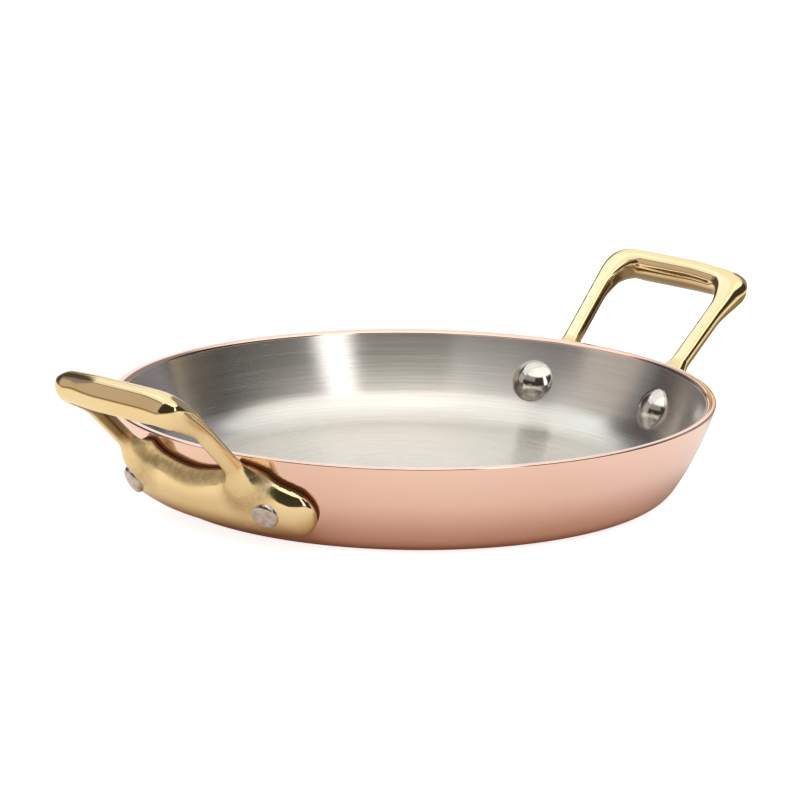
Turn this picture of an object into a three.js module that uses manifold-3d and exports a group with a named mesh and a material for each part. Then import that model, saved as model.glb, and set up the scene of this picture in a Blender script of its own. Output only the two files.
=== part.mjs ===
// Round copper baking dish with a steel lining and two cast brass loop handles.
// Millimetres, +Z up. The origin is the centre of the base, on the surface the dish stands on.
// The handles lie along X. "Front" is the -Y side.

import * as THREE from 'three';
import { mergeVertices } from 'three/addons/utils/BufferGeometryUtils.js';
import Module from 'manifold-3d';

const wasm = await Module();
wasm.setup();

// Dish
const RIM_DIAMETER = 160;
const DISH_HEIGHT = 25;
const WALL_LEAN = 16.6; // degrees that the wall leans outward at the rim
const WALL_CURVE_RADIUS = 82; // slight outward bow of the wall, seen in section
const BASE_CORNER_RADIUS = 8.4; // outside radius between base and wall
const COPPER_THICKNESS = 2.3;
const LINING_THICKNESS = 0.2;
const RIM_EDGE_RADIUS = 0.4; // rounded outer edge of the copper at the rim
const RIM_INNER_RADIUS = 1.2; // rounded inner edge of the copper, which the lining ends below

// Rivets
const RIVET_SPACING = 46.2; // straight distance between the two rivets of a handle
const RIVET_HEIGHT = 12.7; // where the rivet's axis leaves the outer face of the wall
const SHANK_DIAMETER = 6;
const HEAD_DIAMETER = 11.6; // dome inside the dish
const HEAD_HEIGHT = 3.2;
const HEAD_EDGE = 0.4; // straight edge under the dome
const TAIL_DIAMETER = 7.4; // flattened end on the handle
const TAIL_HEIGHT = 1.2;
const TAIL_BEVEL = 0.8;
const RIVET_CLEARANCE = 0.3; // shank in its bore, head and tail on their seats

// Foot plate of a handle, which follows the wall
const SEAT_CLEARANCE = 0.3; // between the handle and the copper
const PLATE_THICKNESS = 5.2;
const PLATE_LENGTH = 67.8; // along the wall, from lobe end to lobe end
const PLATE_BOTTOM = 3; // height of the lower edge
const PLATE_TOP = 18.6; // height of the upper edge midway between the legs
const LEDGE_RISE = 3.3; // how far the upper edge rises from there to the legs
const LOBE_LENGTH = 8; // round end past the rivet
const LOBE_DROP = 7; // how far the upper edge slopes down from leg to lobe end
const LOBE_RISE = 1.6; // how far the lower edge rises over the same length
const LOBE_FULLNESS = 2.7; // 2 makes the lobe's end an ellipse, more makes it squarer
const PLATE_EDGE_RADIUS = 4; // where the front rolls over towards the wall, all round the plate

// Loop grip of a handle, which lies in a plane through the rim
const LOOP_TILT = 42.4; // degrees above the horizontal
const LOOP_DROP = 2.9; // how far its plane passes below the rim's outer edge
const LOOP_REACH = 34.5; // from the rim to the middle of the grip bar, up the slope
const LOOP_ROOT_SPACING = 39.2; // middle of leg to middle of leg at the rim
const LOOP_TOP_SPACING = 44.4; // the same at the corners
const LOOP_CORNER_REACH = 6; // from a sharp corner back to where the line starts to bend
const LEG_WIDTH = 5;
const LEG_DEPTH = 4;
const LEG_FLAT = 4.1; // width of the flat that faces the dish
const LEG_SWELL_START = 19; // where along the loop's line, from the rim, a leg starts to swell
const LEG_SWELL_END = 36; // where it has reached the bar's section
const FLAT_TAPER_START = 31; // where along the same line the flat starts to narrow
const FLAT_TAPER_END = 44; // where it has the bar's width
const BAR_WIDTH = 6.6;
const BAR_DEPTH = 8.3;
const BAR_FLAT = 2.4;
const BAR_FLAT_SHIFT = 0.9; // how far the bar's flat lies outside the middle of its section
const OVAL_MIDDLE = 0.45; // where the loop's section is widest, as a share of its depth
const LEG_ROOT_FLARE = 1.8; // how much a leg spreads to each side where it grows out of the plate
const LEG_ROOT_DEPTH = 6.4; // depth of a leg where it grows out of the plate
const LEG_ROOT_START = -3; // where up the slope the root begins to narrow
const LEG_ROOT_END = 5; // where it has reached the leg's own section

// Fineness of the faceted surfaces
const TURN_STEPS = 64;
const CORNER_STEPS = 4;
const WALL_STEPS = 5;
const RIVET_STEPS = 20;
const DOME_STEPS = 5;
const PLATE_STEPS = 30;
const LEG_STEPS = 7;
const BEND_STEPS = 7;
const BAR_STEPS = 4;
const EDGE_STEPS = 3;
const PLATE_EDGE_STEPS = 4;
const SECTION_STEPS = 14;

const RIM_RADIUS = RIM_DIAMETER / 2;
const WALL_THICKNESS = COPPER_THICKNESS + LINING_THICKNESS;

// Section of the outer face: the wall is one arc, the base corner another that is tangent to it.
const wallEnd = -THREE.MathUtils.degToRad(WALL_LEAN);
const wallCentre = new THREE.Vector2(
  RIM_RADIUS - WALL_CURVE_RADIUS * Math.cos(wallEnd),
  DISH_HEIGHT - WALL_CURVE_RADIUS * Math.sin(wallEnd),
);
const centreDistance = WALL_CURVE_RADIUS - BASE_CORNER_RADIUS;
const centreRise = wallCentre.y - BASE_CORNER_RADIUS;
const cornerCentre = new THREE.Vector2(
  wallCentre.x + Math.sqrt(centreDistance ** 2 - centreRise ** 2),
  BASE_CORNER_RADIUS,
);
const wallStart = cornerCentre.clone().sub(wallCentre).angle() - 2 * Math.PI;

function arcPoints(centre, radius, from, to, steps) {
  const points = [];
  for (let i = 0; i <= steps; i += 1) {
    const angle = THREE.MathUtils.lerp(from, to, i / steps);
    points.push(new THREE.Vector2(centre.x + radius * Math.cos(angle), centre.y + radius * Math.sin(angle)));
  }
  return points;
}

// Points of the dish section from the base centre up to a height, moved out by the given amount.
function dishSection(out, height = DISH_HEIGHT) {
  const corner = arcPoints(cornerCentre, BASE_CORNER_RADIUS + out, -Math.PI / 2, wallStart, CORNER_STEPS);
  const top = Math.asin((height - wallCentre.y) / (WALL_CURVE_RADIUS + out));
  const wall = arcPoints(wallCentre, WALL_CURVE_RADIUS + out, wallStart, top, WALL_STEPS);
  return [new THREE.Vector2(0, -out), ...corner, ...wall.slice(1)];
}

// Radius at a height on the outer face of the dish, moved out by the given amount.
function wallRadius(height, out) {
  const seam = cornerCentre.y + (BASE_CORNER_RADIUS + out) * Math.sin(wallStart);
  const [centre, radius] = height < seam
    ? [cornerCentre, BASE_CORNER_RADIUS + out]
    : [wallCentre, WALL_CURVE_RADIUS + out];
  return centre.x + Math.sqrt(radius ** 2 - (height - centre.y) ** 2);
}

function turned(points, steps) {
  return new THREE.LatheGeometry(points, steps).rotateX(Math.PI / 2);
}

// A solid from rings of points, each ring joined to the next and both ends closed.
function lofted(rings) {
  const count = rings[0].length;
  const position = rings.flat().flatMap((point) => point.toArray());
  const index = [];
  for (let i = 0; i < rings.length - 1; i += 1) {
    for (let j = 0; j < count; j += 1) {
      const a = i * count + j;
      const b = i * count + ((j + 1) % count);
      index.push(a, b, b + count, a, b + count, a + count);
    }
  }
  const last = (rings.length - 1) * count;
  for (let j = 1; j < count - 1; j += 1) {
    index.push(0, j + 1, j);
    index.push(last, last + j, last + j + 1);
  }
  const geometry = new THREE.BufferGeometry();
  geometry.setAttribute('position', new THREE.Float32BufferAttribute(position, 3));
  geometry.setIndex(index);
  return geometry;
}

function solid(geometry, matrix = new THREE.Matrix4()) {
  const plain = geometry.clone().applyMatrix4(matrix);
  plain.deleteAttribute('normal');
  plain.deleteAttribute('uv');
  const merged = mergeVertices(plain);
  return new wasm.Manifold(new wasm.Mesh({
    numProp: 3,
    vertProperties: new Float32Array(merged.attributes.position.array),
    triVerts: new Uint32Array(merged.index.array),
  }));
}

function surface(body) {
  const mesh = body.getMesh();
  const geometry = new THREE.BufferGeometry();
  geometry.setAttribute('position', new THREE.BufferAttribute(mesh.vertProperties, 3));
  geometry.setIndex(new THREE.BufferAttribute(mesh.triVerts, 1));
  return geometry;
}

// Rivet places: local Z of each matrix is the outward normal of the wall, its zero the outer face.
function rivetMatrix(side, lengthwise) {
  const radius = wallRadius(RIVET_HEIGHT, 0);
  const turn = Math.asin(lengthwise * RIVET_SPACING / 2 / radius);
  const lean = Math.asin((RIVET_HEIGHT - wallCentre.y) / WALL_CURVE_RADIUS);
  const place = new THREE.Matrix4().makeRotationZ(side > 0 ? turn : turn + Math.PI);
  place.multiply(new THREE.Matrix4().makeTranslation(radius, 0, RIVET_HEIGHT));
  return place.multiply(new THREE.Matrix4().makeRotationY(Math.PI / 2 - lean));
}

const rivetPlaces = [
  { name: 'rivet_left_front', matrix: rivetMatrix(-1, 1) },
  { name: 'rivet_left_back', matrix: rivetMatrix(-1, -1) },
  { name: 'rivet_right_front', matrix: rivetMatrix(1, -1) },
  { name: 'rivet_right_back', matrix: rivetMatrix(1, 1) },
];

// A flat head touches the hollow wall at its edge first, so its seat is moved in by that hollow.
const headHollow = (HEAD_DIAMETER / 2) ** 2 / (2 * (wallRadius(RIVET_HEIGHT, 0) - WALL_THICKNESS));
const headSeat = -(WALL_THICKNESS + headHollow + RIVET_CLEARANCE);
const tailSeat = SEAT_CLEARANCE + PLATE_THICKNESS + RIVET_CLEARANCE;

function rivet() {
  const headRadius = HEAD_DIAMETER / 2;
  const domeHeight = HEAD_HEIGHT - HEAD_EDGE;
  const domeRadius = (headRadius ** 2 + domeHeight ** 2) / (2 * domeHeight);
  const domeCentre = new THREE.Vector2(0, headSeat - HEAD_HEIGHT + domeRadius);
  const domeEdge = Math.asin((headSeat - HEAD_EDGE - domeCentre.y) / domeRadius);
  const dome = arcPoints(domeCentre, domeRadius, -Math.PI / 2, domeEdge, DOME_STEPS);
  dome[0].x = 0;
  return turned([
    ...dome,
    new THREE.Vector2(headRadius, headSeat),
    new THREE.Vector2(SHANK_DIAMETER / 2, headSeat),
    new THREE.Vector2(SHANK_DIAMETER / 2, tailSeat),
    new THREE.Vector2(TAIL_DIAMETER / 2, tailSeat),
    new THREE.Vector2(TAIL_DIAMETER / 2, tailSeat + TAIL_HEIGHT - TAIL_BEVEL),
    new THREE.Vector2(TAIL_DIAMETER / 2 - TAIL_BEVEL, tailSeat + TAIL_HEIGHT),
    new THREE.Vector2(0, tailSeat + TAIL_HEIGHT),
  ], RIVET_STEPS);
}

function bore() {
  const radius = SHANK_DIAMETER / 2 + RIVET_CLEARANCE;
  const reach = WALL_THICKNESS + PLATE_THICKNESS + HEAD_DIAMETER;
  return turned([
    new THREE.Vector2(0, -reach),
    new THREE.Vector2(radius, -reach),
    new THREE.Vector2(radius, reach),
    new THREE.Vector2(0, reach),
  ], RIVET_STEPS);
}

function drilled(body, places) {
  return places.reduce((rest, place) => rest.subtract(solid(bore(), place.matrix)), body);
}

// Copper shell, with both edges rounded at the rim. The lining inside it ends where the inner edge begins.
const liningHeight = DISH_HEIGHT - RIM_INNER_RADIUS * (1 + Math.sin(wallEnd));

function copperBody() {
  const outer = dishSection(0);
  const rim = outer.pop();
  const edgeInset = RIM_EDGE_RADIUS * (1 - Math.sin(wallEnd)) / Math.cos(wallEnd);
  const edgeCentre = new THREE.Vector2(rim.x - edgeInset, rim.y - RIM_EDGE_RADIUS);
  const edge = arcPoints(edgeCentre, RIM_EDGE_RADIUS, wallEnd, Math.PI / 2, EDGE_STEPS);
  const innerRim = dishSection(-COPPER_THICKNESS).pop();
  const innerInset = RIM_INNER_RADIUS * (1 + Math.sin(wallEnd)) / Math.cos(wallEnd);
  const innerCentre = new THREE.Vector2(innerRim.x + innerInset, innerRim.y - RIM_INNER_RADIUS);
  const innerEdge = arcPoints(innerCentre, RIM_INNER_RADIUS, Math.PI / 2, Math.PI + wallEnd, EDGE_STEPS);
  const inner = dishSection(-COPPER_THICKNESS, liningHeight).reverse();
  const section = [...outer, ...edge, ...innerEdge.slice(0, -1), ...inner];
  return surface(drilled(solid(turned(section, TURN_STEPS)), rivetPlaces));
}

function steelLining() {
  const outer = dishSection(-COPPER_THICKNESS, liningHeight);
  const inner = dishSection(-WALL_THICKNESS, liningHeight).reverse();
  return surface(drilled(solid(turned([...outer, ...inner], TURN_STEPS)), rivetPlaces));
}

// Foot plate: sections across the plate, one behind the other along the wall, shrinking to round lobes.
function footPlate() {
  const reference = wallRadius(RIVET_HEIGHT, 0);
  const halfLength = PLATE_LENGTH / 2;
  const lobeStart = halfLength - LOBE_LENGTH;
  const slopeStart = LOOP_ROOT_SPACING / 2;
  const rings = [];
  for (let i = 1; i < PLATE_STEPS; i += 1) {
    const along = -halfLength * Math.cos(i / PLATE_STEPS * Math.PI);
    const slope = Math.max(0, Math.abs(along) - slopeStart) / (halfLength - slopeStart);
    const towardsLeg = Math.min(1, Math.abs(along) / slopeStart);
    const top = PLATE_TOP + LEDGE_RISE * towardsLeg ** 2 - LOBE_DROP * slope;
    const bottom = PLATE_BOTTOM + LOBE_RISE * slope;
    const end = Math.max(0, Math.abs(along) - lobeStart) / LOBE_LENGTH;
    const fullness = (1 - end ** LOBE_FULLNESS) ** (1 / LOBE_FULLNESS);
    const roll = Math.max(0, Math.abs(along) - halfLength + PLATE_EDGE_RADIUS) / PLATE_EDGE_RADIUS;
    const thickness = PLATE_THICKNESS - PLATE_EDGE_RADIUS * (1 - Math.sqrt(1 - roll ** 2));
    rings.push(plateSection((top + bottom) / 2, (top - bottom) / 2 * fullness, thickness, along / reference));
  }
  return lofted(rings);
}

// One section of the plate, at a turn about Z: its back is on the wall, its two outer edges are
// round, and its upper edge is square to the wall.
function plateSection(middle, halfHeight, thickness, turn) {
  const back = SEAT_CLEARANCE / 2;
  const front = SEAT_CLEARANCE + thickness;
  const edge = Math.min(PLATE_EDGE_RADIUS, halfHeight, thickness);
  const high = new THREE.Vector2(front - edge, middle + halfHeight - edge);
  const low = new THREE.Vector2(front - edge, middle - halfHeight + edge);
  const outline = [
    new THREE.Vector2(back, middle - halfHeight),
    new THREE.Vector2(back, middle),
    new THREE.Vector2(back, middle + halfHeight),
    ...arcPoints(high, edge, Math.PI / 2, 0, PLATE_EDGE_STEPS),
    new THREE.Vector2(front, middle),
    ...arcPoints(low, edge, 0, -Math.PI / 2, PLATE_EDGE_STEPS),
  ];
  return outline.map((point) => {
    const above = THREE.MathUtils.clamp((point.y - middle) / (PLATE_TOP - middle), 0, 1);
    const height = point.y + (point.x - back) * Math.sin(wallEnd) * above;
    const radius = wallRadius(height, point.x);
    return new THREE.Vector3(radius * Math.cos(turn), radius * Math.sin(turn), height);
  });
}

// Middle line of the loop in its own plane: x across the dish, y up the slope from the rim. Each point
// knows the line's direction there and its travel, which is its distance from the rim along the line.
function loopLine() {
  const root = new THREE.Vector2(LOOP_ROOT_SPACING / 2, 0);
  const corner = new THREE.Vector2(LOOP_TOP_SPACING / 2, LOOP_REACH);
  const leg = corner.clone().sub(root).normalize();
  const start = root.clone().addScaledVector(leg, -LEG_ROOT_DEPTH);
  const top = corner.clone().addScaledVector(leg, -LOOP_CORNER_REACH);
  const barStart = new THREE.Vector2(corner.x - LOOP_CORNER_REACH, LOOP_REACH);
  const runs = [
    [new THREE.LineCurve(start, top), LEG_STEPS],
    [new THREE.QuadraticBezierCurve(top, corner, barStart), BEND_STEPS],
    [new THREE.LineCurve(barStart, new THREE.Vector2(0, LOOP_REACH)), BAR_STEPS],
  ];
  const half = [];
  let travelled = -LEG_ROOT_DEPTH;
  for (const [curve, steps] of runs) {
    const length = curve.getLength();
    for (let i = 0; i < steps; i += 1) {
      const share = i / steps;
      half.push({
        point: curve.getPoint(share),
        along: curve.getTangent(share),
        travel: travelled + length * share,
      });
    }
    travelled += length;
  }
  const middle = {
    point: new THREE.Vector2(0, LOOP_REACH),
    along: new THREE.Vector2(-1, 0),
    travel: travelled,
  };
  const mirrored = half.toReversed().map(({ point, along, travel }) => ({
    point: new THREE.Vector2(-point.x, point.y),
    along: new THREE.Vector2(along.x, -along.y),
    travel,
  }));
  return [...half, middle, ...mirrored];
}

// Section of the loop: an oval cut flat on the face towards the dish, and leaning so that the flat lies
// outside its middle by the given shift. x outward, y down from the flat.
function loopSection(width, depth, flat, shift) {
  const sunk = depth * OVAL_MIDDLE;
  const upper = sunk / Math.sqrt(1 - (flat / width) ** 2);
  const start = -Math.asin(sunk / upper);
  const points = [];
  for (let i = 0; i <= SECTION_STEPS; i += 1) {
    const angle = THREE.MathUtils.lerp(start, Math.PI - start, i / SECTION_STEPS);
    const reach = Math.sin(angle) < 0 ? upper : depth - sunk;
    const down = sunk + reach * Math.sin(angle);
    const lean = shift * (1 - down / sunk);
    points.push(new THREE.Vector2(lean - width / 2 * Math.cos(angle), down));
  }
  return points;
}

function loopGrip() {
  const tilt = THREE.MathUtils.degToRad(LOOP_TILT);
  const upSlope = new THREE.Vector3(Math.cos(tilt), 0, Math.sin(tilt));
  const across = new THREE.Vector3(0, 1, 0);
  const down = new THREE.Vector3(Math.sin(tilt), 0, -Math.cos(tilt));
  const origin = new THREE.Vector3(RIM_RADIUS, 0, DISH_HEIGHT - LOOP_DROP);
  const rings = loopLine().map(({ point, along, travel }) => {
    const bar = THREE.MathUtils.smoothstep(travel, LEG_SWELL_START, LEG_SWELL_END);
    const taper = THREE.MathUtils.smoothstep(travel, FLAT_TAPER_START, FLAT_TAPER_END);
    const root = 1 - THREE.MathUtils.smoothstep(travel, LEG_ROOT_START, LEG_ROOT_END);
    const flare = LEG_ROOT_FLARE * 2 * root;
    const width = THREE.MathUtils.lerp(LEG_WIDTH, BAR_WIDTH, bar) + flare;
    const depth = THREE.MathUtils.lerp(LEG_DEPTH, BAR_DEPTH, bar) + (LEG_ROOT_DEPTH - LEG_DEPTH) * root;
    const flat = THREE.MathUtils.lerp(LEG_FLAT, BAR_FLAT, taper) + flare;
    return loopSection(width, depth, flat, BAR_FLAT_SHIFT * taper).map((place) => {
      const sideways = new THREE.Vector2(along.y, -along.x).multiplyScalar(place.x);
      return origin.clone()
        .addScaledVector(across, point.x + sideways.x)
        .addScaledVector(upSlope, point.y + sideways.y)
        .addScaledVector(down, place.y);
    });
  });
  return lofted(rings);
}

// The space that the dish takes up, with the seat clearance, which the handle is hollowed out by.
function dishSpace() {
  const section = dishSection(SEAT_CLEARANCE);
  const rim = section[section.length - 1];
  const above = DISH_HEIGHT + LOOP_REACH;
  return turned([
    ...section,
    new THREE.Vector2(rim.x, above),
    new THREE.Vector2(0, above),
  ], TURN_STEPS);
}

function brassHandle() {
  const casting = solid(footPlate()).add(solid(loopGrip())).subtract(solid(dishSpace()));
  return surface(drilled(casting, rivetPlaces.filter((place) => place.name.startsWith('rivet_right'))));
}

function piece(name, geometry, finish) {
  const mesh = new THREE.Mesh(geometry, new THREE.MeshStandardMaterial(finish));
  mesh.name = name;
  return mesh;
}

const COPPER = { color: 0xe3a184, roughness: 0.16, metalness: 1 };
const BRUSHED_STEEL = { color: 0xc9c4bd, roughness: 0.34, metalness: 1 };
const BRASS = { color: 0xdcbc74, roughness: 0.2, metalness: 1 };
const RIVET_STEEL = { color: 0xcfccc8, roughness: 0.22, metalness: 1 };

const group = new THREE.Group();
group.name = 'round_copper_baking_dish';
group.add(piece('copper_body', copperBody(), COPPER));
group.add(piece('steel_lining', steelLining(), BRUSHED_STEEL));

const handleGeometry = brassHandle();
group.add(piece('handle_right', handleGeometry, BRASS));
const leftHandle = piece('handle_left', handleGeometry, BRASS);
leftHandle.rotation.z = Math.PI;
group.add(leftHandle);

for (const { name, matrix } of rivetPlaces) {
  const mesh = piece(name, rivet(), RIVET_STEEL);
  mesh.applyMatrix4(matrix);
  group.add(mesh);
}

export default group;
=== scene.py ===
"""Looks of a round copper baking dish with brass loop handles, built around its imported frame.

Sizes are in millimetres, in the frame of the part. Meshes are made in metres.
"""

import itertools
import math

import bpy
import numpy as np
from mathutils import Matrix


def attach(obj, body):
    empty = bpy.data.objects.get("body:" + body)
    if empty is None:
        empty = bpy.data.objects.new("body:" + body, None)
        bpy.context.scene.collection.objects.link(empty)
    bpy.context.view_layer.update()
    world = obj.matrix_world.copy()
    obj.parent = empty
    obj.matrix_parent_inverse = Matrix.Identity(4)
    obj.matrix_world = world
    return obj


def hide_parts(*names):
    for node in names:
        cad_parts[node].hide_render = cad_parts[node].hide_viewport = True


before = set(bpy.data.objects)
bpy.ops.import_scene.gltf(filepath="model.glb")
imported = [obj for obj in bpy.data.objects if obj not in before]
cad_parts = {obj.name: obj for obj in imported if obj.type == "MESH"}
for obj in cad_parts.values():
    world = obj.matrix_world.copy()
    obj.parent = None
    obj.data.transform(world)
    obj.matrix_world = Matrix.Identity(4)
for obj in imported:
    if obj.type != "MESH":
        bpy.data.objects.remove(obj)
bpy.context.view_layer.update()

METRES = 0.001

# Dish
RIM_RADIUS = 80
DISH_HEIGHT = 25
WALL_LEAN = math.radians(16.6)  # of the wall at the rim, from upright
WALL_CURVE_RADIUS = 82
BASE_CORNER_RADIUS = 8.4
INSIDE_CORNER_RADIUS = 14
COPPER_THICKNESS = 2.3
WALL_THICKNESS = 2.5  # copper and lining together
RIM_EDGE_RADIUS = 0.46
RIM_INNER_RADIUS = 1.2

# Rivets
RIVET_SPACING = 46.2  # between the two of a handle
RIVET_HEIGHT = 12.7
RIVET_TURN = math.radians(-0.75)  # round the dish, away from even places
SHANK_RADIUS = 3
RIVET_CLEARANCE = 0.3
BORE_RADIUS = SHANK_RADIUS + RIVET_CLEARANCE
HEAD_RADIUS = 5.8
HEAD_HEIGHT = 3.2
HEAD_EDGE = 0.35  # straight part of the head, below its dome
TAIL_RADIUS = 3.7
TAIL_HEIGHT = 1.5
TAIL_SUNK = 0.5  # part of the tail that is let into the plate
TAIL_BEVEL = 1.2

# Foot plate of a handle: a ledge between the legs and, past each leg, two circles in the unrolled wall
# that are joined by their common tangents
SEAT_GAP = 0.03  # between the plate and the copper
SQUARE_SIDE = 1.6  # depth beside the wall over which the plate's side is square to it
PLATE_FRONT = 5.5  # from the copper to the front
PLATE_HALF_LENGTH = 34.3
PLATE_BOTTOM = 3
PLATE_TOP = 19.4  # height of the ledge midway between the legs
LEDGE_RISE = 2.2  # how far the ledge rises from there to the legs
PILLOW_RADIUS = 8.8  # rounding of the front
PILLOW_TURN = math.radians(55.5)  # how far the front has turned where it ends
PLATE_EDGE = 0.8  # softening where the front meets the side
BODY_CENTRE = 17  # of the large circle, along the wall
BODY_RADIUS = (PLATE_TOP + LEDGE_RISE - PLATE_BOTTOM) / 2
LOBE_RADIUS = 7.2
LOBE_HEIGHT = 10.7  # of the small circle's centre

# Loop of a handle, in a tilted plane. Its section is an oval that is cut flat towards the dish.
LOOP_TILT = math.radians(42.4)
LOOP_DROP = 2.9  # how far its plane passes below the rim
LOOP_REACH = 34.2  # from the rim to the middle of the bar, up the slope
LOOP_ROOT = 19.6  # from the middle to a leg, at the rim
LOOP_TOP = 23.3  # the same at the corners
FLAT_CORNER = 8.6  # reach of a corner's bend, at the flat
BELT_CORNER = 4.5  # the same where the section is widest
WORN_START = 2  # across the loop, where the worn side begins
WORN_END = 18  # where it is worn in full
NEAR_CORNER_TUCK = 5.9  # how far the worn corner is tucked in, on the handle near the camera
FAR_CORNER_TUCK = 2.1  # the same on the other handle
CORNER_DROP = 1  # how far the worn corner lies down the slope
CORNER_ROUNDING = 2.5  # what wear adds to the bend
CORNER_THINNING = 0.14  # share of the depth that wear takes
LEG_FOOT = -7  # where the legs end in the plate, up the slope
LEG_WIDTH = 5
LEG_DEPTH = 4
LEG_FLAT = 4.1
LEG_SWELL_START = 19  # along the loop's line, where a leg starts to swell to the bar's section
LEG_SWELL_END = 36
FLAT_TAPER_START = 31  # along the same line, where the flat starts to narrow
FLAT_TAPER_END = 44
BAR_WIDTH = 6.6
BAR_DEPTH = 8.3
BAR_FLAT = 2
BAR_FLAT_SHIFT = 0.9  # how far the bar's flat lies outside the middle of its section
OVAL_MIDDLE = 0.45  # where the section is widest, as a share of its depth
LEG_ROOT_FLARE = 1.8  # how far a leg spreads to each side at its root
LEG_ROOT_DEPTH = 6.4
LEG_ROOT_START = -3  # along the loop's line, where the root starts to narrow
LEG_ROOT_END = 5
ROOT_FILLET = 5  # reach of the blend from the legs to the plate
FOOT_FADE = 6  # reach of the blend at the legs' ends
FLAT_EDGE = 0.5  # softening at the edges of the flat
SEAT_EDGE = 0.25  # the same at the edge of the seat

# Skins of a handle. In a pair the skin goes from none to all, or from all to none.
WINDOW_SLOPE = 15  # middle of the loop's window, up the slope
LEDGE_ENDS = (20, 22)  # across the loop
LOOP_STARTS = (3, 9)  # up the slope
CAST_FACING = (0.68, 0.92)  # how squarely a face looks at the window's middle
# Where the loop's lower inner sides turn rougher and are painted dark, a painted dark reflection
DULL_AND_DARK_FACING = (0.2, 0.6)
DULL_AND_DARK_BELOW = (-0.45, -0.2)  # how squarely a face looks away from the flat's side
ROOT_CAST = 0.8  # share of the cast skin at the roots of the legs
# Reach of the painted shade beside the wall
CREVICE_SHADE_FADE = 0.7

# Camera
CAMERA_AZIMUTH = math.radians(-45.79)
CAMERA_ELEVATION = math.radians(14.475)
CAMERA_DISTANCE = 1209.13
CAMERA_LENS = 205.55
CAMERA_PAN = math.radians(-0.16)
CAMERA_TILT = math.radians(-1.0776)
CAMERA_ROLL = math.radians(-0.652)
CLIP_START = 50
CLIP_END = 20000

# Dark card in front of the left handle, a painted dark reflection seen in its polish alone, which casts no
# shadow:
# to the right of the dish's middle as the camera sees it, towards the camera, and up
CARD_RIGHT = -90
CARD_NEAR = 130
CARD_HEIGHT = 75
CARD_HALF_LENGTH = 50
CARD_HALF_HEIGHT = 30

# Floor. Its material measures in metres: to the right of the dish's middle, and away from a point.
FLOOR_REACH = 4000
FLOOR_DROP = 0.1  # below the base, so that they don't share a plane
# Where the floor's painted cool light on the right and painted warm light on the left begin, in reflections
COOL_RIGHT = (0.0, 0.2)
WARM_LEFT = (-0.1, -0.03)
# Reach of the painted shade and copper-red bounce on the floor beside the dish, seen in reflections
SHADE_BESIDE_DISH = (0.066, 0.085)
FAR_AWAY = (0.35, 0.65)
# A painted shadow of the dish on the floor, seen in reflections
SHADE_MIDDLE = (0.16, 0.1, 0)
SHADE_REACH = (0.05, 0.09)

# Fineness: steps round the axis and along the sections
TURN_STEPS = 288
RIVET_TURN_STEPS = 72
BORE_TURN_STEPS = 48
BASE_STEPS = 13
CORNER_STEPS = 20
INSIDE_CORNER_STEPS = 28
WALL_STEPS = 30
RIM_EDGE_STEPS = 8
RIM_INNER_STEPS = 12
DOME_STEPS = 18
BEVEL_STEPS = 6
SHARP_ANGLE = math.radians(32)  # smooth shading stops where faces turn by more

# Grid in a box round the right handle, in which its surface is found
CAST_STEP = 0.45
CAST_MARGIN = 12  # of the box, inwards from the wall at the plate's lower edge
CAST_REACH = 114
CAST_HALF_LENGTH = 36
CAST_BOTTOM = 1
CAST_TOP = 49
SETTLING_ROUNDS = 5  # in which its points move on to the surface
LEAST_STEEPNESS = 0.2  # keeps those moves short where the field is flat
PROBE_REACH = 0.02  # to each side, for the slope of a field
TINY = 1e-6  # keeps a division from going by zero

# Colours of the metals
COPPER_DEEP = (0.94, 0.66, 0.56, 1)
COPPER_PALE = (0.96, 0.69, 0.59, 1)
LINING_DARK = (0.76, 0.74, 0.70, 1)
LINING_PALE = (0.84, 0.82, 0.78, 1)
BRASS_DEEP = (0.89, 0.71, 0.40, 1)
BRASS_PALE = (0.92, 0.75, 0.44, 1)
CAST_DARK = (0.58, 0.44, 0.23, 1)
CAST_PALE = (0.74, 0.58, 0.32, 1)
# Painted dark reflection on the loop's lower inner sides
DARK_REFLECTION_BRASS = (0.17, 0.10, 0.035, 1)
# Painted shade, with a reddish painted reflection of the copper, on the plate beside the wall
CREVICE_SHADE = (0.17, 0.07, 0.03, 1)
HEAD_DARK = (0.68, 0.65, 0.61, 1)
HEAD_PALE = (0.76, 0.73, 0.69, 1)
TAIL_DARK = (0.50, 0.45, 0.42, 1)
TAIL_PALE = (0.66, 0.60, 0.57, 1)

# Colours of the stage: the floor's paint, and its glow in the camera's sight and in reflections
CARD_DARK = (0.04, 0.034, 0.028, 1)
CARD_PALE = (0.05, 0.043, 0.034, 1)
PAINT = (0.80, 0.77, 0.74, 1)
# Painted shade and painted copper-red bounce light beside the dish, seen in reflections
PAINT_SHADE_BESIDE = (0.78, 0.62, 0.52, 1)
PAINT_DIM = (0.30, 0.22, 0.14, 1)
GLOW_SEEN = (0.85, 0.85, 0.85, 1)
# The floor's glow in reflections is painted light: warm to the left, cool to the right
GLOW_MIDDLE = (0.24, 0.205, 0.17, 1)
GLOW_RIGHT = (0.30, 0.32, 0.35, 1)
GLOW_LEFT = (0.32, 0.275, 0.22, 1)
GLOW_SHADE_BESIDE = (0.04, 0.02, 0.01, 1)
GLOW_DIM = (0.05, 0.04, 0.02, 1)
WHITE = (1, 1, 1, 1)
DARK_ROOM = (0.05, 0.045, 0.035, 1)

# The wall's outer face is an arc about this centre in the dish's section
wall_centre = np.array(
    [
        RIM_RADIUS - WALL_CURVE_RADIUS * math.cos(WALL_LEAN),
        DISH_HEIGHT + WALL_CURVE_RADIUS * math.sin(WALL_LEAN),
    ]
)


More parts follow.
